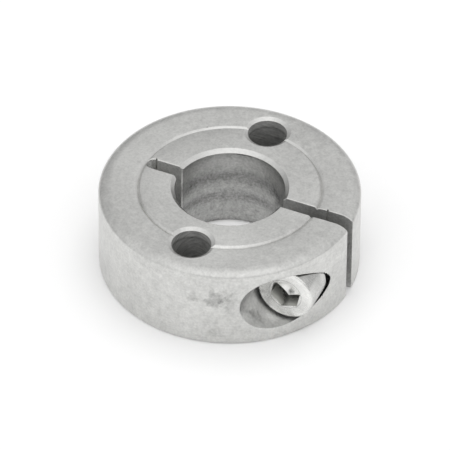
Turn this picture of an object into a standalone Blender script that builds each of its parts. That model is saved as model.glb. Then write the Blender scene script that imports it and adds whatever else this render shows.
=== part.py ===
"""Semi-split clamping shaft collar: one turned ring, slit on one side, and its clamp screw.

The bore runs along Z with the bottom face at Z = 0. The open slit is at +X, the blind
hinge slit at -X, and the clamp screw runs along +Y with its head on the -Y side.
"""
import math

import bmesh
import bpy
from mathutils import Matrix

MM = 0.001

# Ring
outer_radius = 22.5 * MM
bore_radius = 9.5 * MM
ring_width = 16.0 * MM
rim_round_in = 2.2 * MM
rim_round_down = 1.2 * MM
foot_round_in = 0.8 * MM
foot_round_up = 0.45 * MM
round_steps = 6
bore_chamfer = 0.65 * MM
groove_inner_edge = 15.0 * MM
groove_bottom = 16.1 * MM
groove_outer_edge = 17.9 * MM
groove_depth = 0.5 * MM
ring_steps = 96

# Slits
slit_width = 2.4 * MM
hinge_slit_end = 14.4 * MM
slit_overrun = 3.0 * MM
slit_end_steps = 16

# Axial holes for a flange's screws, on the line square to the slits
flange_hole_offset = 15.9 * MM
flange_hole_radius = 3.4 * MM
countersink_radius = 4.05 * MM
countersink_depth = 0.4 * MM

# Clamp screw and the stepped hole that it sits in
screw_offset = 16.2 * MM
screw_height = ring_width / 2
pocket_radius = 5.5 * MM
pocket_floor = 5.4 * MM
clearance_hole_radius = 3.3 * MM
tapped_hole_radius = 3.0 * MM
seat_gap = 1.75 * MM
head_radius = 5.0 * MM
head_height = 6.0 * MM
head_edge = 0.35 * MM
thread_radius = 2.67 * MM
thread_length = 16.0 * MM
thread_tip_chamfer = 0.6 * MM
socket_width = 5.0 * MM
socket_depth = 3.0 * MM
socket_turn = math.radians(-12.0)
socket_sides = 6
screw_steps = 48

# Finishes: colour and roughness
ring_finish = ((0.60, 0.60, 0.59), 0.38)
screw_finish = ((0.66, 0.66, 0.65), 0.28)

cutter_reach = 30.0 * MM
merge_distance = 0.00001


def clear_scene():
    for scene_object in list(bpy.data.objects):
        bpy.data.objects.remove(scene_object, do_unlink=True)


def new_collection(name):
    collection = bpy.data.collections.new(name)
    bpy.context.scene.collection.children.link(collection)
    return collection


def steel_material(name, colour, roughness):
    material = bpy.data.materials.new(name)
    material.use_nodes = True
    shader = material.node_tree.nodes["Principled BSDF"]
    shader.inputs["Base Color"].default_value = (*colour, 1.0)
    shader.inputs["Metallic"].default_value = 1.0
    shader.inputs["Roughness"].default_value = roughness
    return material


def link_object(name, mesh, collection):
    new_object = bpy.data.objects.new(name, mesh)
    collection.objects.link(new_object)
    return new_object


def turned_object(name, outline, steps, collection):
    """An outline of (radius, height) points, top to bottom on its outer side, turned round Z."""
    mesh = bpy.data.meshes.new(name)
    form = bmesh.new()
    points = [form.verts.new((radius, 0, height)) for radius, height in outline]
    closed = outline[0][0] > 0
    pairs = list(zip(points, points[1:]))
    if closed:
        pairs.append((points[-1], points[0]))
    for first, second in pairs:
        form.edges.new((first, second))
    form.to_mesh(mesh)
    form.free()
    turned = link_object(name, mesh, collection)
    screw = turned.modifiers.new("Turn", "SCREW")
    screw.axis = "Z"
    screw.steps = steps
    screw.render_steps = steps
    screw.use_smooth_shade = True
    screw.use_merge_vertices = True
    screw.merge_threshold = merge_distance
    return turned


def hide_cutter(cutter):
    cutter.hide_render = True
    cutter.display_type = "WIRE"
    return cutter


def cut(target, cutter):
    boolean = target.modifiers.new("Cut " + cutter.name, "BOOLEAN")
    boolean.operation = "DIFFERENCE"
    boolean.solver = "EXACT"
    boolean.object = hide_cutter(cutter)


def rounded_corner(centre_radius, centre_height, reach_out, reach_up, first_turn, last_turn):
    """Points of a quarter ellipse in the ring's section, from one turn to the other, in degrees."""
    points = []
    for step in range(round_steps + 1):
        turn = math.radians(first_turn + (last_turn - first_turn) * step / round_steps)
        radius = centre_radius + reach_out * math.cos(turn)
        height = centre_height + reach_up * math.sin(turn)
        points.append((radius, height))
    return points


def ring_outline():
    """The ring's section: the top face and its groove, the rim, the foot, then back up the bore."""
    top = ring_width
    rim = rounded_corner(outer_radius - rim_round_in, top - rim_round_down,
                         rim_round_in, rim_round_down, 90, 0)
    foot = rounded_corner(outer_radius - foot_round_in, foot_round_up,
                          foot_round_in, foot_round_up, 0, -90)
    groove_swell = rounded_corner(groove_outer_edge, top - groove_depth,
                                  groove_outer_edge - groove_bottom, groove_depth, 180, 90)
    return [
        (bore_radius + bore_chamfer, top),
        (groove_inner_edge, top),
        *groove_swell,
        *rim,
        *foot,
        (bore_radius + bore_chamfer, 0),
        (bore_radius, bore_chamfer),
        (bore_radius, top - bore_chamfer),
    ]


def clamp_slit_cutter(collection):
    """The open slit, from inside the bore out past the rim."""
    start = bore_radius - slit_overrun
    end = outer_radius + slit_overrun
    mesh = bpy.data.meshes.new("clamp_slit_cutter")
    form = bmesh.new()
    size = (end - start, slit_width, ring_width + 2 * slit_overrun)
    placed = Matrix.Translation(((start + end) / 2, 0, ring_width / 2)) @ Matrix.Diagonal((*size, 1))
    bmesh.ops.create_cube(form, size=1.0, matrix=placed)
    form.to_mesh(mesh)
    form.free()
    return link_object("clamp_slit_cutter", mesh, collection)


def hinge_slit_cutter(collection):
    """The blind slit: a flat outline with a round end, as thick as the ring and a little more."""
    radius = slit_width / 2
    outline = [(slit_overrun - bore_radius, radius)]
    for step in range(slit_end_steps + 1):
        angle = math.pi / 2 + math.pi * step / slit_end_steps
        outline.append((radius * math.cos(angle) - hinge_slit_end, radius * math.sin(angle)))
    outline.append((slit_overrun - bore_radius, -radius))
    curve = bpy.data.curves.new("hinge_slit_outline", "CURVE")
    curve.dimensions = "2D"
    curve.fill_mode = "BOTH"
    curve.extrude = ring_width / 2 + slit_overrun
    spline = curve.splines.new("POLY")
    spline.points.add(len(outline) - 1)
    for point, (x, y) in zip(spline.points, outline):
        point.co = (x, y, 0, 1)
    spline.use_cyclic_u = True
    drawn = link_object("hinge_slit_outline", curve, collection)
    drawn.location = (0, 0, ring_width / 2)
    bpy.context.view_layer.update()
    evaluated = drawn.evaluated_get(bpy.context.evaluated_depsgraph_get())
    mesh = bpy.data.meshes.new_from_object(evaluated)
    form = bmesh.new()
    form.from_mesh(mesh)
    bmesh.ops.remove_doubles(form, verts=form.verts, dist=merge_distance)
    form.to_mesh(mesh)
    form.free()
    cutter = link_object("hinge_slit_cutter", mesh, collection)
    cutter.matrix_world = drawn.matrix_world
    bpy.data.objects.remove(drawn, do_unlink=True)
    return cutter


def flange_hole_cutter(number, side, collection):
    """A through hole with a shallow countersink at both faces."""
    above = ring_width + slit_overrun
    shoulder = ring_width - countersink_depth
    outline = [
        (0, above),
        (countersink_radius, above),
        (countersink_radius, ring_width),
        (flange_hole_radius, shoulder),
        (flange_hole_radius, countersink_depth),
        (countersink_radius, 0),
        (countersink_radius, -slit_overrun),
        (0, -slit_overrun),
    ]
    cutter = turned_object("flange_hole_cutter_%d" % number, outline, screw_steps, collection)
    cutter.location = (0, side * flange_hole_offset, 0)
    return cutter


def lay_along_y(turned, y):
    """Turn a piece made round Z so that its axis points to -Y, with its own zero at y."""
    turned.rotation_euler = (math.pi / 2, 0, 0)
    turned.location = (screw_offset, y, screw_height)


def screw_pocket_cutter(collection):
    """The head's pocket and the clearance hole behind it, up to the middle of the slit."""
    outline = [
        (0, cutter_reach),
        (pocket_radius, cutter_reach),
        (pocket_radius, pocket_floor),
        (clearance_hole_radius, pocket_floor),
        (clearance_hole_radius, 0),
        (0, 0),
    ]
    cutter = turned_object("screw_pocket_cutter", outline, screw_steps, collection)
    lay_along_y(cutter, 0)
    return cutter


def tapped_hole_cutter(collection):
    """The screw's tapped hole, from the middle of the slit out through the far side."""
    outline = [
        (0, 0),
        (tapped_hole_radius, 0),
        (tapped_hole_radius, -cutter_reach),
        (0, -cutter_reach),
    ]
    cutter = turned_object("tapped_hole_cutter", outline, screw_steps, collection)
    lay_along_y(cutter, 0)
    return cutter


def collar_ring(collection, cutters):
    ring = turned_object("collar_ring", ring_outline(), ring_steps, collection)
    ring.data.materials.append(steel_material("satin_stainless", *ring_finish))
    cut(ring, clamp_slit_cutter(cutters))
    cut(ring, hinge_slit_cutter(cutters))
    for number, side in enumerate((-1, 1), start=1):
        cut(ring, flange_hole_cutter(number, side, cutters))
    cut(ring, screw_pocket_cutter(cutters))
    cut(ring, tapped_hole_cutter(cutters))
    return ring


def socket_cutter(collection):
    """The hexagon socket, sunk into the head from its outer face."""
    outer_face = head_height
    mesh = bpy.data.meshes.new("socket_cutter")
    form = bmesh.new()
    corner_radius = socket_width / 2 / math.cos(math.pi / socket_sides)
    depth = socket_depth + slit_overrun
    placed = Matrix.Translation((0, 0, outer_face - socket_depth + depth / 2))
    placed = placed @ Matrix.Rotation(socket_turn, 4, "Z")
    bmesh.ops.create_cone(form, cap_ends=True, segments=socket_sides, radius1=corner_radius,
                          radius2=corner_radius, depth=depth, matrix=placed)
    form.to_mesh(mesh)
    form.free()
    return link_object("socket_cutter", mesh, collection)


def clamp_screw(collection, cutters):
    """A cylinder-head screw with its own zero under the head, on the screw's axis."""
    outline = [
        (0, head_height),
        (head_radius - head_edge, head_height),
        (head_radius, head_height - head_edge),
        (head_radius, 0),
        (thread_radius, 0),
        (thread_radius, thread_tip_chamfer - thread_length),
        (thread_radius - thread_tip_chamfer, -thread_length),
        (0, -thread_length),
    ]
    screw = turned_object("clamp_screw", outline, screw_steps, collection)
    screw.data.materials.append(steel_material("bright_stainless", *screw_finish))
    lay_along_y(screw, -(pocket_floor + seat_gap))
    cutter = socket_cutter(cutters)
    cutter.matrix_world = screw.matrix_basis
    cut(screw, cutter)
    return screw


def build():
    clear_scene()
    collar = new_collection("shaft_collar")
    cutters = new_collection("cutters")
    collar_ring(collar, cutters)
    clamp_screw(collar, cutters)


build()
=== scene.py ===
import math
import random

import bmesh
import bpy
from mathutils import Matrix, Vector


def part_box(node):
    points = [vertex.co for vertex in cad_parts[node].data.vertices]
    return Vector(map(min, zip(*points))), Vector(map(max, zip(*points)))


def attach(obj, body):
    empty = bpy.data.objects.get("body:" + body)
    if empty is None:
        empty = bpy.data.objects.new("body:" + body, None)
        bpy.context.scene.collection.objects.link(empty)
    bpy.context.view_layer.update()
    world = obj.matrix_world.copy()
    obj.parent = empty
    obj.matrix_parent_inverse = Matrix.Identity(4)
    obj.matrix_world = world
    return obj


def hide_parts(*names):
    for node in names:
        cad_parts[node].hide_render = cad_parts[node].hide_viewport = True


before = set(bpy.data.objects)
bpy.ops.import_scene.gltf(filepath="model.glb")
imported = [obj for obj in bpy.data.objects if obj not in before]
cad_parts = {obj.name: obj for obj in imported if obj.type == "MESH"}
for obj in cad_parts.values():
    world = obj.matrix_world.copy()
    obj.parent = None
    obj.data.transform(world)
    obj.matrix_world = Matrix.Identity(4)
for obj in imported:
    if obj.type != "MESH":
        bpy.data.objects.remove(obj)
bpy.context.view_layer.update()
mm = 0.001
mergeWithin = 0.0005 * mm
cutOverlap = 0.1 * mm  # how far a thread's cutter starts outside the face it cuts
threadBase = 0.9  # a thread groove's widths, in pitches
threadRoot = 0.14
feedBase = 0.6
feedRoot = 0.2
sharpFrom = math.radians(24)

# what the frame fixes: the ring's outside, and the screw's axis and ends
ringLow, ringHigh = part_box("collar_ring")
screwLow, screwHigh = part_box("clamp_screw")
ringRadius = ringHigh[1]
ringWidth = ringHigh[2] - ringLow[2]
screwX = (screwLow[0] + screwHigh[0]) / 2
screwZ = (screwLow[2] + screwHigh[2]) / 2
headFaceY = screwLow[1]
screwTipY = screwHigh[1]
layAlongY = Matrix.Translation((screwX, 0, screwZ)) @ Matrix.Rotation(math.radians(-90), 4, "X")


class Field:  # a node's output that can be added, multiplied and so on
    def __init__(self, sheet, socket):
        self.sheet = sheet
        self.socket = socket

    def combine(self, operation, *values):
        return self.sheet.node("ShaderNodeMath", {"operation": operation}, dict(enumerate(values)))

    def __add__(self, other):
        return self.combine("ADD", self, other)

    def __sub__(self, other):
        return self.combine("SUBTRACT", self, other)

    def __rsub__(self, other):
        return self.combine("SUBTRACT", other, self)

    def __mul__(self, other):
        return self.combine("MULTIPLY", self, other)

    def __truediv__(self, other):
        return self.combine("DIVIDE", self, other)

    def __pow__(self, other):
        return self.combine("POWER", self, other)

    __radd__ = __add__
    __rmul__ = __mul__

    def ramp(self, low, high, first=0.0, last=1.0):  # smooth step from low to high
        settings = {"interpolation_type": "SMOOTHSTEP"}
        values = {"Value": self, "From Min": low, "From Max": high, "To Min": first, "To Max": last}
        return self.sheet.node("ShaderNodeMapRange", settings, values)


class NodeSheet:  # a node tree and the one way nodes are added to it
    def __init__(self, tree):
        self.tree = tree

    def node(self, kind, settings=None, values=None, output=0):
        new = self.tree.nodes.new(kind)
        for name, setting in (settings or {}).items():
            setattr(new, name, setting)
        for name, value in (values or {}).items():
            if isinstance(value, Field):
                self.tree.links.new(value.socket, new.inputs[name])
            else:
                new.inputs[name].default_value = value
        return Field(self, new.outputs[output] if new.outputs else None)


def linked(name, mesh):
    made = bpy.data.objects.new(name, mesh)
    bpy.context.scene.collection.objects.link(made)
    return made


def meshFrom(name, form):
    mesh = bpy.data.meshes.new(name)
    form.to_mesh(mesh)
    form.free()
    return mesh


def evaluatedMesh(made):
    bpy.context.view_layer.update()
    return bpy.data.meshes.new_from_object(made.evaluated_get(bpy.context.evaluated_depsgraph_get()))


def turned(name, outline, steps, place=None):  # an outline of (radius, height) spun round Z
    form = bmesh.new()
    points = [form.verts.new((radius, 0, height)) for radius, height in outline]
    pairs = list(zip(points, points[1:]))
    if outline[0][0] > 0:
        pairs.append((points[-1], points[0]))
    edges = [form.edges.new(pair) for pair in pairs]
    bmesh.ops.spin(form, geom=points + edges, cent=(0, 0, 0), axis=(0, 0, 1), angle=math.tau,
                   steps=steps, use_merge=True)
    bmesh.ops.remove_doubles(form, verts=form.verts, dist=mergeWithin)
    bmesh.ops.recalc_face_normals(form, faces=form.faces)
    if place is not None:
        form.transform(place)
    return linked(name, meshFrom(name, form))


def arc(centreRadius, centreHeight, reachOut, reachUp, firstTurn, lastTurn, steps, flat=1.0):
    points = []  # part of an ellipse; flat nears 2 as the arc nears a straight chamfer
    for step in range(steps + 1):
        turn = math.radians(firstTurn + (lastTurn - firstTurn) * step / steps)
        out = math.copysign(abs(math.cos(turn)) ** flat, math.cos(turn))
        up = math.copysign(abs(math.sin(turn)) ** flat, math.sin(turn))
        points.append((centreRadius + reachOut * out, centreHeight + reachUp * up))
    return points


def prism(name, outline, low, high, place=None):  # a flat outline of (x, y) from one height to another
    form = bmesh.new()
    bottom = [form.verts.new((x, y, low)) for x, y in outline]
    top = [form.verts.new((x, y, high)) for x, y in outline]
    form.faces.new(bottom[::-1])
    form.faces.new(top)
    for step in range(len(outline)):
        following = (step + 1) % len(outline)
        form.faces.new((bottom[step], bottom[following], top[following], top[step]))
    bmesh.ops.recalc_face_normals(form, faces=form.faces)
    if place is not None:
        form.transform(place)
    return linked(name, meshFrom(name, form))


def edgeBreaker(name, path, closed=False):
    # a slim four-sided bar along an edge: each step is (point, into one face, into the other)
    form = bmesh.new()
    rings = []
    for point, intoFirst, intoSecond in path:
        corners = (intoFirst, intoSecond, -intoFirst, -intoSecond)
        rings.append([form.verts.new(point + corner) for corner in corners])
    pairs = list(zip(rings, rings[1:]))
    if closed:
        pairs.append((rings[-1], rings[0]))
    for ring, following in pairs:
        for side in range(4):
            beside = (side + 1) % 4
            form.faces.new((ring[side], ring[beside], following[beside], following[side]))
    if not closed:
        form.faces.new(rings[0])
        form.faces.new(rings[-1])
    bmesh.ops.recalc_face_normals(form, faces=form.faces)
    return linked(name, meshFrom(name, form))


def carve(target, cutters, operation="DIFFERENCE"):
    for cutter in cutters:
        boolean = target.modifiers.new(cutter.name, "BOOLEAN")
        boolean.operation = operation
        boolean.solver = "MANIFOLD"
        boolean.object = cutter
    mesh = evaluatedMesh(target)
    target.modifiers.clear()
    target.data = mesh
    for cutter in cutters:
        bpy.data.objects.remove(cutter, do_unlink=True)
    return target


def threadTree():
    tree = bpy.data.node_groups.new("threadGroove", "GeometryNodeTree")
    sizes = ("Radius", "Pitch", "Turns", "Base Width", "Root Width", "Depth", "Section Turn", "Steps")
    for name in sizes:
        kind = "NodeSocketInt" if name == "Steps" else "NodeSocketFloat"
        tree.interface.new_socket(name, in_out="INPUT", socket_type=kind)
    tree.interface.new_socket("Geometry", in_out="OUTPUT", socket_type="NodeSocketGeometry")
    sheet = NodeSheet(tree)
    start = tree.nodes.new("NodeGroupInput")
    given = {name: Field(sheet, start.outputs[name]) for name in sizes}
    helix = sheet.node("GeometryNodeCurveSpiral", None, {
        "Resolution": given["Steps"], "Rotations": given["Turns"], "Start Radius": given["Radius"],
        "End Radius": given["Radius"], "Height": given["Pitch"] * given["Turns"], "Reverse": True})
    upright = sheet.node("GeometryNodeSetCurveNormal", {"mode": "Z_UP"}, {"Curve": helix})
    section = sheet.node("GeometryNodeCurvePrimitiveQuadrilateral", {"mode": "TRAPEZOID"}, {
        "Bottom Width": given["Base Width"], "Top Width": given["Root Width"], "Offset": 0.0,
        "Height": given["Depth"]})
    turn = sheet.node("ShaderNodeCombineXYZ", None, {"Z": given["Section Turn"]})
    facing = sheet.node("GeometryNodeTransform", None, {"Geometry": section, "Rotation": turn})
    swept = sheet.node("GeometryNodeCurveToMesh", None, {
        "Curve": upright, "Profile Curve": facing, "Fill Caps": True})
    solid = sheet.node("GeometryNodeRealizeInstances", None, {"Geometry": swept})
    finished = sheet.node("GeometryNodeSetMaterial", None, {"Geometry": solid})
    end = tree.nodes.new("NodeGroupOutput")
    tree.links.new(finished.socket, end.inputs["Geometry"])
    return tree


def threadGroove(name, radius, pitch, turns, depth, baseWidth, rootWidth, inward, steps, place, tree):
    # a helical bar that cuts one thread: its wide side faces the axis unless it cuts inward
    holder = linked(name, bpy.data.meshes.new(name))
    grooves = holder.modifiers.new("Thread", "NODES")
    grooves.node_group = tree
    given = {"Radius": radius, "Pitch": pitch, "Turns": turns, "Depth": depth, "Base Width": baseWidth,
             "Root Width": rootWidth, "Section Turn": math.radians(90 if inward else -90), "Steps": steps}
    for item in tree.interface.items_tree:
        if item.name in given:
            grooves[item.identifier] = given[item.name]
    mesh = evaluatedMesh(holder)
    holder.modifiers.clear()
    mesh.materials.clear()
    mesh.transform(place)
    holder.data = mesh
    return holder


threadMaker = threadTree()


ring = {
    "bore": 9.5, "boreChamfer": 0.65, "boreFootChamfer": 0.25,
    "grooveInner": 15.3, "grooveBottom": 15.75, "grooveWall": 16.1, "grooveOuter": 18.2,
    "grooveDepth": 0.42, "swellDepth": 0.14,
    "rimIn": 2.3, "rimDown": 1.2, "rimFlat": 1.15, "footIn": 0.8, "footUp": 0.45, "footRing": 0.15,
    "slit": 2.4, "hingeSlitEnd": 14.4, "edgeBreak": 0.12, "boreEdgeBreak": 0.28,
    "witnessWidth": 0.3, "witnessDepth": 0.25, "clampWitness": 17.7, "hingeWitness": -14.35,
    "flangeHole": 3.4, "flangeHoleOffset": 15.9, "flangeLead": 1.5,
    "feedPitch": 0.8, "feedDepth": 0.008, "countersink": 4.05, "countersinkDepth": 0.4,
    "pocket": 5.42, "pocketShift": -0.07, "pocketFloor": 5.4, "burr": 0.22, "clearanceHole": 3.3,
    "clampBore": 3.05, "clampCore": 2.5, "clampThread": 3.0, "clampPitch": 1.0,
    "clampTurns": 10.0, "tipRoom": 0.5, "tapLead": 0.5, "slitOverrun": 3.0,
    "turnSteps": 512, "threadSteps": 64, "feedSteps": 48, "holeSteps": 96, "pocketSteps": 128,
    "mouthSteps": 240, "hingeEdgeSteps": 24, "hingeEndSteps": 32, "burrSeed": 7, "reach": 30.0,
}


def inMetres(sizes):
    unscaled = ("rimFlat", "clampTurns", "runout", "burrSeed")
    return {name: value if name in unscaled or name.lower().endswith("steps") else value * mm
            for name, value in sizes.items()}


ringSize = inMetres(ring)


def ringOutline(size):
    top = ringWidth
    step = arc(size["grooveInner"], top - size["grooveDepth"],
               size["grooveBottom"] - size["grooveInner"], size["grooveDepth"], 90, 0, 8, 1.6)
    swell = arc(size["grooveOuter"], top - size["swellDepth"], size["grooveOuter"] - size["grooveWall"],
                size["swellDepth"], 170, 90, 16)
    rim = arc(ringRadius - size["rimIn"], top - size["rimDown"], size["rimIn"], size["rimDown"],
              90, 0, 18, size["rimFlat"])
    foot = arc(ringRadius - size["footIn"], size["footUp"], size["footIn"], size["footUp"], 0, -90, 8)
    return [
        (size["bore"] + size["boreChamfer"], top),
        *step,
        *swell,
        *rim,
        *foot,
        (ringRadius - size["footIn"] - size["footRing"], 0),
        (size["bore"] + size["boreFootChamfer"], 0),
        (size["bore"], size["boreFootChamfer"]),
        (size["bore"], top - size["boreChamfer"]),
    ]


def topHeight(outline, radius):  # the top face's height at a radius, groove and rim included
    upper = [point for point in outline if point[1] > ringWidth / 2 and point[0] > outline[-1][0] * 1.001]
    for (nearRadius, nearHeight), (farRadius, farHeight) in zip(upper, upper[1:]):
        if nearRadius <= radius <= farRadius:
            share = (radius - nearRadius) / max(farRadius - nearRadius, 1e-9)
            return nearHeight + (farHeight - nearHeight) * share
    return ringWidth


def slitBreakers(size, outline):  # both walls of the open slit, all the way round their edge
    made = []
    half = size["slit"] / 2
    for side in (1, -1):
        path = []
        for step, (radius, height) in enumerate(outline):
            before = Vector(outline[step - 1])
            after = Vector(outline[(step + 1) % len(outline)])
            here = Vector((radius, height))
            along = ((here - before).normalized() + (after - here).normalized()).normalized()
            inward = Vector((along.y, 0, -along.x)) * size["edgeBreak"]
            point = Vector((math.sqrt(radius ** 2 - half ** 2), side * half, height))
            path.append((point, inward, Vector((0, side * size["edgeBreak"], 0))))
        made.append(edgeBreaker("slitEdge", path, closed=True))
    return made


def hingeBreakers(size, outline):  # the blind slit's edge on the top and the foot, and up the bore
    made = []
    half = size["slit"] / 2
    end = -size["hingeSlitEnd"]
    route = [(-size["bore"] * share + end * (1 - share), half, 0, 1) for share in (1.0, 0.5, 0.02)]
    for step in range(size["hingeEdgeSteps"] + 1):
        turn = math.radians(90 + 180 * step / size["hingeEdgeSteps"])
        route.append((end + half * math.cos(turn), half * math.sin(turn), math.cos(turn), math.sin(turn)))
    route += [(-size["bore"] * share + end * (1 - share), -half, 0, -1) for share in (0.02, 0.5, 1.0)]
    for down in (True, False):
        path = []
        for x, y, outX, outY in route:
            height = topHeight(outline, math.hypot(x, y)) if down else 0
            intoWall = Vector((0, 0, -1 if down else 1)) * size["edgeBreak"]
            path.append((Vector((x, y, height)), intoWall, Vector((outX, outY, 0)) * size["edgeBreak"]))
        made.append(edgeBreaker("hingeEdge", path))
    for side in (1, -1):
        x = -math.sqrt(size["bore"] ** 2 - half ** 2)
        path = [(Vector((x, side * half, height)), Vector((-size["boreEdgeBreak"], 0, 0)),
                 Vector((0, side * size["boreEdgeBreak"], 0))) for height in (-mm, ringWidth + mm)]
        made.append(edgeBreaker("hingeBoreEdge", path))
    return made


def pocketBreaker(size):  # the mouth of the screw pocket, with a burr where its wall runs out thin
    path = []
    ragged = random.Random(size["burrSeed"])
    for step in range(size["mouthSteps"]):
        turn = math.tau * step / size["mouthSteps"]
        x = screwX + size["pocketShift"] + size["pocket"] * math.cos(turn)
        y = -math.sqrt(ringRadius ** 2 - x ** 2)
        z = screwZ + size["pocket"] * math.sin(turn)
        outward = Vector((x, y, 0)).normalized()
        alongX = -size["pocket"] * math.sin(turn)
        along = Vector((alongX, -x * alongX / y, size["pocket"] * math.cos(turn))).normalized()
        away = along.cross(outward).normalized()
        if away.dot(Vector((math.cos(turn), 0, math.sin(turn)))) < 0:
            away = -away
        thin = max(0.0, math.cos(turn) - 0.5) * 2  # from 0 to 1 over the third of the mouth toward +X
        width = size["edgeBreak"] + size["burr"] * thin * ragged.random()
        path.append((Vector((x, y, z)), Vector((0, width, 0)), away * width))
    return edgeBreaker("pocketEdge", path, closed=True)


def witnessLines(size):  # the shallow vertical lines that the saw left on the far walls
    made = []
    half = size["witnessWidth"] / 2
    wall = size["slit"] / 2
    deep = wall + size["witnessDepth"]
    for at in (size["clampWitness"], size["hingeWitness"]):
        outline = [(at - half, wall - half), (at + half, wall - half), (at + half, deep), (at - half, deep)]
        made.append(prism("witnessLine", outline, -mm, ringWidth + mm))
    return made


def makeRing(size):
    outline = ringOutline(size)
    made = turned("collarRing", outline, size["turnSteps"])
    reach = size["reach"]
    half = size["slit"] / 2
    cutters = []

    inside = size["bore"] - size["slitOverrun"]
    cutters.append(prism("slit", [(inside, -half), (reach, -half), (reach, half), (inside, half)],
                         -mm, ringWidth + mm))
    end = -size["hingeSlitEnd"]
    blind = [(end + half * math.cos(turn), half * math.sin(turn))
             for turn in (math.radians(90 + 180 * step / size["hingeEndSteps"])
                          for step in range(size["hingeEndSteps"] + 1))]
    cutters.append(prism("hingeSlit", [(-inside, half), *blind, (-inside, -half)], -mm, ringWidth + mm))

    shoulder = ringWidth - size["countersinkDepth"]
    drilled = [(0, -mm), (size["flangeHole"], -mm), (size["flangeHole"], shoulder),
               (size["countersink"], ringWidth), (size["countersink"], ringWidth + mm), (0, ringWidth + mm)]
    feed = size["feedPitch"]
    feedEnd = ringWidth - size["flangeLead"]
    depth = size["feedDepth"] + cutOverlap
    for side in (1, -1):
        y = side * size["flangeHoleOffset"]
        cutters.append(turned("flangeHole", drilled, size["holeSteps"], Matrix.Translation((0, y, 0))))
        cutters.append(threadGroove("feedMarks", size["flangeHole"] + size["feedDepth"] - depth / 2, feed,
                                    (feedEnd + feed) / feed, depth, feed * feedBase, feed * feedRoot,
                                    False, size["feedSteps"], Matrix.Translation((0, y, -feed)), threadMaker))

    pocket = [(0, 0), (size["pocket"], 0), (size["pocket"], reach), (0, reach)]
    facing = Matrix.Translation((screwX, 0, screwZ)) @ Matrix.Rotation(math.radians(90), 4, "X")
    sunk = Matrix.Translation((size["pocketShift"], 0, size["pocketFloor"]))
    cutters.append(turned("pocket", pocket, size["pocketSteps"], facing @ sunk))
    clear = [(0, 0), (size["clearanceHole"], 0), (size["clearanceHole"], 2 * size["pocketFloor"]),
             (0, 2 * size["pocketFloor"])]
    cutters.append(turned("clearanceHole", clear, size["holeSteps"], facing))
    pastTip = screwTipY + size["tipRoom"]  # plain round the screw, threaded past its tip
    tapped = [(0, 0), (size["clampBore"], 0), (size["clampBore"], pastTip),
              (size["clampCore"], pastTip + size["tapLead"]), (size["clampCore"], reach), (0, reach)]
    cutters.append(turned("tappedHole", tapped, size["holeSteps"], layAlongY))
    depth = size["clampThread"] - size["clampCore"] + cutOverlap
    pitch = size["clampPitch"]
    cutters.append(threadGroove("clampThread", size["clampThread"] - depth / 2, pitch, size["clampTurns"],
                                depth, pitch * threadBase, pitch * threadRoot, False, size["threadSteps"],
                                layAlongY @ Matrix.Translation((0, 0, pastTip)), threadMaker))

    cutters += slitBreakers(size, outline)
    cutters += hingeBreakers(size, outline)
    cutters.append(pocketBreaker(size))
    cutters += witnessLines(size)
    carve(made, cutters)
    return made


collarRing = makeRing(ringSize)
print("collar ring:", len(collarRing.data.polygons), "faces")


screw = {
    "head": 5.0, "headHeight": 6.0, "headEdge": 0.4, "underHead": 0.2,
    "crest": 2.95, "core": 2.35, "pitch": 1.0, "tipChamfer": 0.8,
    "socket": 5.0, "socketDepth": 3.0, "socketCone": 1.3, "socketMouth": 3.2, "socketMouthDepth": 0.08,
    "neck": 0.2, "tipIn": 0.25, "runout": 1.2, "steps": 128, "socketSteps": 96, "threadSteps": 64,
}
screwSize = inMetres(screw)
socketTurn = math.radians(12)


def makeScrew(size):
    length = screwTipY - headFaceY
    edge = size["headEdge"]
    head = arc(size["head"] - edge, edge, edge, edge, -90, 0, 6)
    outline = [
        (0, 0),
        *head,
        (size["head"], size["headHeight"] - size["underHead"]),
        (size["head"] - size["underHead"], size["headHeight"]),
        (size["crest"] + size["neck"], size["headHeight"]),
        (size["crest"], size["headHeight"] + size["neck"]),
        (size["crest"], length - size["tipChamfer"]),
        (size["core"] - size["tipIn"], length),
        (0, length),
    ]
    place = layAlongY @ Matrix.Translation((0, 0, headFaceY))
    made = turned("clampScrew", outline, size["steps"], place)
    corner = size["socket"] / 2 / math.cos(math.radians(30))
    hexagon = [(corner * math.cos(turn), corner * math.sin(turn))
               for turn in (socketTurn + math.radians(60 * step + 90) for step in range(6))]
    tip = size["socketDepth"] + size["socketCone"]
    ended = turned("socketEnd", [(0, -2 * mm), (2 * corner, -2 * mm), (2 * corner, size["socketDepth"]),
                                 (corner, size["socketDepth"]), (0, tip)], size["socketSteps"], place)
    cutters = [carve(prism("socket", hexagon, -mm, tip + mm, place), [ended], "INTERSECT")]
    mouthTip = size["socketMouthDepth"] * 4
    mouth = [(0, -mm), (size["socketMouth"], -mm), (size["socketMouth"], 0), (0, mouthTip)]
    cutters.append(turned("socketMouth", mouth, size["socketSteps"], place))
    depth = size["crest"] - size["core"] + cutOverlap
    pitch = size["pitch"]
    start = size["headHeight"] + size["runout"] * pitch
    turns = (length - start) / pitch + 2  # two more, so that the groove leaves through the tip
    cutters.append(threadGroove("screwThread", size["core"] + depth / 2, pitch, turns, depth,
                                pitch * threadBase, pitch * threadRoot, True, size["threadSteps"],
                                place @ Matrix.Translation((0, 0, start)), threadMaker))
    carve(made, cutters)
    return made


clampScrew = makeScrew(screwSize)
print("clamp screw:", len(clampScrew.data.polygons), "faces")
for piece in (collarRing, clampScrew):
    piece.data.shade_smooth()
    piece.data.set_sharp_from_angle(angle=sharpFrom)


def newMaterial(name):
    material = bpy.data.materials.new(name)
    material.use_nodes = True
    sheet = NodeSheet(material.node_tree)
    shader = material.node_tree.nodes["Principled BSDF"]
    return material, sheet, shader


def linkTo(sheet, shader, values):
    for name, value in values.items():
        if isinstance(value, Field):
            sheet.tree.links.new(value.socket, shader.inputs[name])
        else:
            shader.inputs[name].default_value = value


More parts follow.
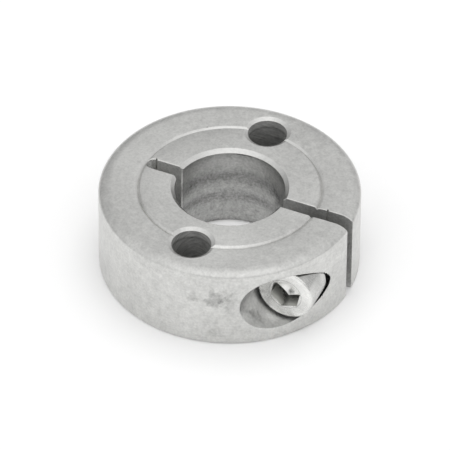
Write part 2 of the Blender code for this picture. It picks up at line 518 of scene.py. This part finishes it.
def noise(sheet, place, scale, detail=3.0, roughness=0.5):
    return sheet.node("ShaderNodeTexNoise", None, {
        "Vector": place, "Scale": scale, "Detail": detail, "Roughness": roughness})


grainScale = 2400
cloudScale = 750
blotchScale = 160
reliefShares = {"grain": 0.5, "cloud": 0.5, "rings": 0.6}
roughShares = {"grain": 0.1, "cloud": 0.14, "rings": 0.1}
reliefHeight = 0.02 * mm
nearAxis = 0.01 * mm  # keeps the lathe lines finite on the axis


def steel(name, look):
    material, sheet, shader = newMaterial(name)
    place = sheet.node("ShaderNodeTexCoord", output=3)
    centred = sheet.node("ShaderNodeVectorMath", {"operation": "SUBTRACT"}, {0: place, 1: look["axisAt"]})
    parts = [sheet.node("ShaderNodeSeparateXYZ", None, {"Vector": centred}, output=axis) for axis in range(3)]
    across, second, along = [parts[axis] for axis in look["axes"]]
    radius = (across * across + second * second) ** 0.5 + nearAxis
    lathe = sheet.node("ShaderNodeCombineXYZ", None, {
        "X": across / radius * look["streak"] * mm, "Y": second / radius * look["streak"] * mm,
        "Z": radius + along})
    rings = noise(sheet, lathe, look["ringScale"], 3.0, 0.6)
    grain = noise(sheet, place, grainScale, 2.0, 0.6)
    cloud = noise(sheet, place, cloudScale, 3.0, 0.55)
    blotch = noise(sheet, place, blotchScale, 2.0, 0.5)
    tone = 1 + (grain - 0.5) * look["grain"] + (cloud - 0.5) * look["cloud"]
    tone = tone + (blotch - 0.5) * look["blotch"] + (rings - 0.5) * look["rings"]
    for measure, spans in ((along, look["bands"]), (radius, look["hoops"])):  # soft lines, in millimetres
        for low, middle, high, change in spans:
            fade = measure.ramp(low * mm, middle * mm) * measure.ramp(middle * mm, high * mm, 1.0, 0.0)
            tone = tone + fade * change
    for at, reach, flat, change in look["patches"]:  # darker or lighter places: painted shade, painted shadow and painted sheen, and a few marks; flat squeezes them in Z
        away = sheet.node("ShaderNodeVectorMath", {"operation": "SUBTRACT"}, {
            0: place, 1: [part * mm for part in at]})
        away = sheet.node("ShaderNodeVectorMath", {"operation": "MULTIPLY"}, {0: away, 1: (1, 1, flat)})
        away = sheet.node("ShaderNodeVectorMath", {"operation": "LENGTH"}, {0: away}, output=1)
        ragged = away + (cloud - 0.5) * look["ragged"] * reach * mm
        tone = tone + ragged.ramp(0.0, reach * mm, 1.0, 0.0) * change
    colour = sheet.node("ShaderNodeMix", {"data_type": "RGBA"}, {
        "Factor": tone * 0.5, 6: (0, 0, 0, 1), 7: (*[2 * part for part in look["colour"]], 1)}, output=2)
    relief = grain * reliefShares["grain"] + cloud * reliefShares["cloud"] + rings * reliefShares["rings"]
    rough = look["roughness"] + (grain - 0.5) * roughShares["grain"]
    rough = rough + (cloud - 0.5) * roughShares["cloud"] + (rings - 0.5) * roughShares["rings"]
    bump = sheet.node("ShaderNodeBump", None, {
        "Height": relief, "Strength": look["bump"], "Distance": reliefHeight})
    linkTo(sheet, shader, {
        "Base Color": colour, "Metallic": look["metallic"], "Normal": bump, "Roughness": rough})
    return material


def steelLook(**changes):
    look = {"colour": (0.62, 0.62, 0.605), "roughness": 0.36, "metallic": 1.0, "grain": 0.45, "cloud": 0.4,
            "blotch": 0.2, "rings": 0.2, "ringScale": 2600, "streak": 3.0, "bump": 0.2, "ragged": 2.0,
            "bands": [], "hoops": [], "patches": [], "axisAt": (0, 0, 0), "axes": (0, 1, 2)}
    look.update(changes)
    return look


alongScrew = {"axisAt": (screwX, 0, screwZ), "axes": (0, 2, 1)}
looks = {
    "satinStainless": steelLook(patches=[
        ((6.9, -21.4, 10.0), 3.0, 1, -0.3),
        ((3.6, -22.2, 10.1), 2.0, 1, -0.16),
        ((9.0, -20.6, 9.4), 2.4, 1, -0.16),
        ((6.9, -21.4, 3.2), 2.0, 1, -0.12),
        # painted sheen: the top face lighter toward the front and the left and darker toward the back-right,
        # in place of the turned face's uneven highlight
        ((4.0, -13.5, 16.0), 9.0, 1, 0.14),
        ((7.0, 19.5, 16.0), 9.0, 1, -0.08),
        ((-14.0, 0.0, 16.0), 12.0, 1, 0.08),
        ((-10.0, 12.7, 16.0), 0.25, 1, -0.5)]),
    "cutStainless": steelLook(
        colour=(0.52, 0.52, 0.51), roughness=0.5, grain=0.8, cloud=0.5, metallic=0.85,
        # painted light: the far wall of the hinge slit made lighter round its upper part, where too little
        # light reaches into the narrow slit
        patches=[((-12.0, 1.2, 12.0), 8.0, 1, 0.6)]),
    "pocketStainless": steelLook(
        # painted shade: the pocket much darker deep down behind the screw head, and darker on its lower and
        # left wall near the head, which shades it
        colour=(0.67, 0.67, 0.66), roughness=0.4, cloud=0.7, metallic=0.9, bands=[(-9.5, -7.4, -1.0, -0.9)],
        patches=[((11.8, -16.5, 4.6), 1.6, 1, -0.35), ((10.8, -19.3, 8.5), 2.4, 0.7, -0.25)], **alongScrew),
    "boredStainless": steelLook(
        colour=(0.39, 0.39, 0.382), roughness=0.34, grain=1.0, cloud=0.7, rings=0.3,
        # lighter near the top of the bore and darker in two bands lower down; painted contact shadow along
        # its foot
        bands=[(11.2, 13.6, 16.0, 0.32), (7.8, 10.2, 12.0, -0.34), (3.9, 6.0, 7.4, -0.34),
               (-0.6, 0.2, 1.0, -0.25)],
        # painted shadow: a thin dark arc just under the far chamfer; a darker place on the far right of the
        # bore
        patches=[((-1.0, 9.4, 15.2), 2.8, 12, -0.8), ((5.8, 7.5, 8.5), 2.6, 0.7, -0.3)]),
    "drilledStainless": steelLook(
        colour=(0.5, 0.5, 0.49), roughness=0.4, cloud=0.5, metallic=0.65, rings=1.4,
        # painted shade: darker toward the bottom of the hole; a painted shadow line just under the plain
        # lead; painted light over the lead at the mouth
        bands=[(-2.0, -1.0, 14.0, -0.5), (13.7, 14.05, 14.4, -0.3), (14.2, 14.7, 17.0, 0.35)]),
    # a lighter, smoother copy of the satin for the chamfers and the groove's wall: partly their cut finish,
    # partly a painted highlight on these tilted faces
    "chamferedStainless": steelLook(colour=(0.68, 0.68, 0.665), roughness=0.34, grain=0.25, cloud=0.25),
    "brightStainless": steelLook(
        colour=(0.57, 0.57, 0.557), roughness=0.26, grain=0.25, cloud=0.8, rings=0.1, blotch=0.4, bump=0.03,
        # painted highlight on the head's face and edge; a painted shadow ring round the socket's lip; a
        # lighter ring near the head's rim
        bands=[(-13.7, -13.2, -12.7, 0.34)], hoops=[(2.85, 2.98, 3.12, -0.45), (4.1, 4.5, 4.8, 0.12)],
        patches=[
            # darker spots on the face beside the socket; a painted highlight on the right of the head
            ((11.9, -13.2, 7.0), 0.9, 1, -0.4),
            ((11.5, -13.2, 8.4), 0.7, 1, -0.25),
            ((15.4, -13.2, 4.2), 1.0, 0.6, -0.1),
            ((19.6, -13.2, 9.0), 3.0, 1, 0.22)], **alongScrew),
    "shadedSocketWall": steelLook(
        # painted shade: the socket's walls dark, lighter toward the mouth
        colour=(0.33, 0.33, 0.32), roughness=0.3, grain=0.2, cloud=0.4, bump=0.03,
        bands=[(-14.0, -13.1, -11.4, 1.3)], **alongScrew),
    "socketEnd": steelLook(
        # painted light: the socket's floor near white, as if lit; a painted shade spot in the middle of its
        # cone
        colour=(0.9, 0.9, 0.88), roughness=0.2, grain=0.2, cloud=0.3, bump=0.03,
        patches=[((15.95, -10.1, 6.1), 0.8, 1, -0.8)]),
}
steels = {name: steel(name, look) for name, look in looks.items()}


def setFinishes(made, names, finishAt):  # finishAt names the finish of a face
    made.data.materials.clear()
    for name in names:
        made.data.materials.append(steels[name])
    for face in made.data.polygons:
        face.material_index = names.index(finishAt(face))


def ringFinish(face):
    # the tool that left a face decides its finish; a long face is judged by its middle alone, so
    # some faces of the outside and the foot beside a hole take the drilled finish
    size = ringSize
    x, y, z = face.center
    half = size["slit"] / 2 + 0.01 * mm
    radius = math.hypot(x, y)
    holeAway = math.hypot(x, abs(y) - size["flangeHoleOffset"])
    screwAway = math.hypot(x - screwX, z - screwZ)
    nearBore = radius < size["bore"] + size["boreChamfer"] + 0.02 * mm
    inside = radius < ringRadius - 0.05 * mm
    grooveWall = size["grooveBottom"] < radius < size["grooveWall"] and z > ringWidth / 2
    countersunk = size["flangeHole"] < holeAway < size["countersink"]
    if 0.3 < abs(face.normal.z) < 0.95 and (nearBore or grooveWall or countersunk):
        return "chamferedStainless"
    if holeAway < size["countersink"] - 0.2 * mm and z < ringWidth - 0.2 * mm:
        return "drilledStainless"
    if abs(y) < half and abs(face.normal.z) < 0.2 and inside:
        return "cutStainless"
    if radius < size["bore"] + size["boreEdgeBreak"] and abs(face.normal.z) < 0.2:
        return "boredStainless"
    if y > half and screwAway < size["clampBore"] + 0.05 * mm:
        return "drilledStainless"
    if y < -half and screwAway < size["pocket"] + 0.1 * mm and inside:
        return "pocketStainless"
    return "satinStainless"


def screwFinish(face):
    size = screwSize
    x, y, z = face.center
    sunk = y - headFaceY
    if math.hypot(x - screwX, z - screwZ) > size["socketMouth"] or not 0.03 * mm < sunk < size["headHeight"]:
        return "brightStainless"
    return "socketEnd" if abs(face.normal.y) > 0.5 and sunk > size["socketDepth"] / 2 else "shadedSocketWall"


setFinishes(collarRing, ["satinStainless", "cutStainless", "boredStainless", "drilledStainless",
                         "pocketStainless", "chamferedStainless"], ringFinish)
setFinishes(clampScrew, ["brightStainless", "shadedSocketWall", "socketEnd"], screwFinish)
print("finishes:", len(steels))

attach(collarRing, "collar")
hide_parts("collar_ring")
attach(clampScrew, "clamp_screw")
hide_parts("clamp_screw")


view = {"azimuth": 23.879, "elevation": 41.226, "roll": 0.48, "distance": 0.94105, "lens": 438.11,
        "right": -0.776, "up": -0.599, "height": 8.0}


def makeCamera(view):
    turn = math.radians(view["azimuth"])
    tilt = math.radians(view["elevation"])
    roll = math.radians(view["roll"])
    right = Vector((math.cos(turn), math.sin(turn), 0))
    back = Vector((math.sin(turn) * math.cos(tilt), -math.cos(turn) * math.cos(tilt), math.sin(tilt)))
    up = back.cross(right)
    target = right * view["right"] * mm + up * view["up"] * mm + Vector((0, 0, view["height"] * mm))
    tiltedRight = right * math.cos(roll) + up * math.sin(roll)
    place = Matrix((tiltedRight, back.cross(tiltedRight), back)).transposed().to_4x4()
    place.translation = target + back * view["distance"]
    lens = bpy.data.cameras.new("productView")
    lens.lens = view["lens"]
    lens.sensor_width = 36
    lens.clip_start = 0.01
    lens.clip_end = 20
    camera = linked("productView", lens)
    camera.matrix_world = place
    bpy.context.scene.camera = camera


makeCamera(view)

ground = {"half": 3.0, "grey": 0.9, "roughness": 0.7, "glow": 0.35, "glowAround": 0.15,
          "glowIn": 8.5 * mm, "glowOut": 10.0 * mm}
form = bmesh.new()
bmesh.ops.create_grid(form, x_segments=1, y_segments=1, size=ground["half"])
floor = linked("floor", meshFrom("floor", form))
floorPaint, floorSheet, floorShader = newMaterial("floorPaint")
floorAway = floorSheet.node("ShaderNodeVectorMath", {"operation": "LENGTH"}, {
    0: floorSheet.node("ShaderNodeTexCoord", output=3)}, output=1)
floorGlow = floorSheet.node("ShaderNodeMix", {"data_type": "RGBA"}, {  # painted light: the floor glows brighter under the bore, where it is seen through the hole
    "Factor": floorAway.ramp(ground["glowIn"], ground["glowOut"]), 6: (1, 1, 1, 1),
    7: (*[ground["glowAround"]] * 3, 1)}, output=2)
linkTo(floorSheet, floorShader, {
    "Base Color": (*[ground["grey"]] * 3, 1), "Roughness": ground["roughness"],
    "Emission Color": floorGlow, "Emission Strength": ground["glow"]})
floor.data.materials.append(floorPaint)

light = {
    "horizon": 0.62, "sky": 0.92, "skyFrom": 0.5,
    "patches": [  # toward, from and full as a cosine, and the change
        ((0.2, -0.5, 0.84), 0.72, 0.95, 0.28),
        ((-0.17, 0.386, 0.906), 0.93, 0.995, -0.2),
        ((-0.85, 0.4, 0.3), 0.7, 0.97, -0.28),
        ((-0.25, -0.95, 0.1), 0.75, 1.0, 0.12),
        ((-0.3, 0.93, 0.1), 0.75, 0.97, -0.14),
        ((0.45, 0.69, 0.55), 0.85, 0.98, -0.14)],
    "floorLamp": {"at": (-0.05, 0.2, 1.2), "size": 0.9, "power": 3.9},
}


def makeLights(light):
    world = bpy.data.worlds.new("studio")
    world.use_nodes = True
    sheet = NodeSheet(world.node_tree)
    toward = sheet.node("ShaderNodeTexCoord", output=0)
    height = sheet.node("ShaderNodeSeparateXYZ", None, {"Vector": toward}, output=2)
    tent = height.ramp(0.0, light["skyFrom"], light["horizon"], light["sky"])
    for at, low, full, change in light["patches"]:
        facing = sheet.node("ShaderNodeVectorMath", {"operation": "DOT_PRODUCT"}, {
            0: toward, 1: Vector(at).normalized()}, output=1)
        tent = tent + facing.ramp(low, full, 0.0, change)
    background = world.node_tree.nodes["Background"]
    world.node_tree.links.new(tent.socket, background.inputs["Strength"])
    background.inputs["Color"].default_value = (1, 1, 1, 1)
    bpy.context.scene.world = world
    box = light["floorLamp"]
    lamp = bpy.data.lights.new("floorLamp", "AREA")
    lamp.size = box["size"]
    lamp.energy = box["power"]
    placed = linked("floorLamp", lamp)
    placed.location = box["at"]
    placed.rotation_euler = (-Vector(box["at"])).to_track_quat("-Z", "Y").to_euler()
    placed.visible_glossy = False  # it lights the floor; the steel mirrors the tent


makeLights(light)
print("studio: floor, camera and light")
bpy.context.scene.view_settings.view_transform = "Standard"
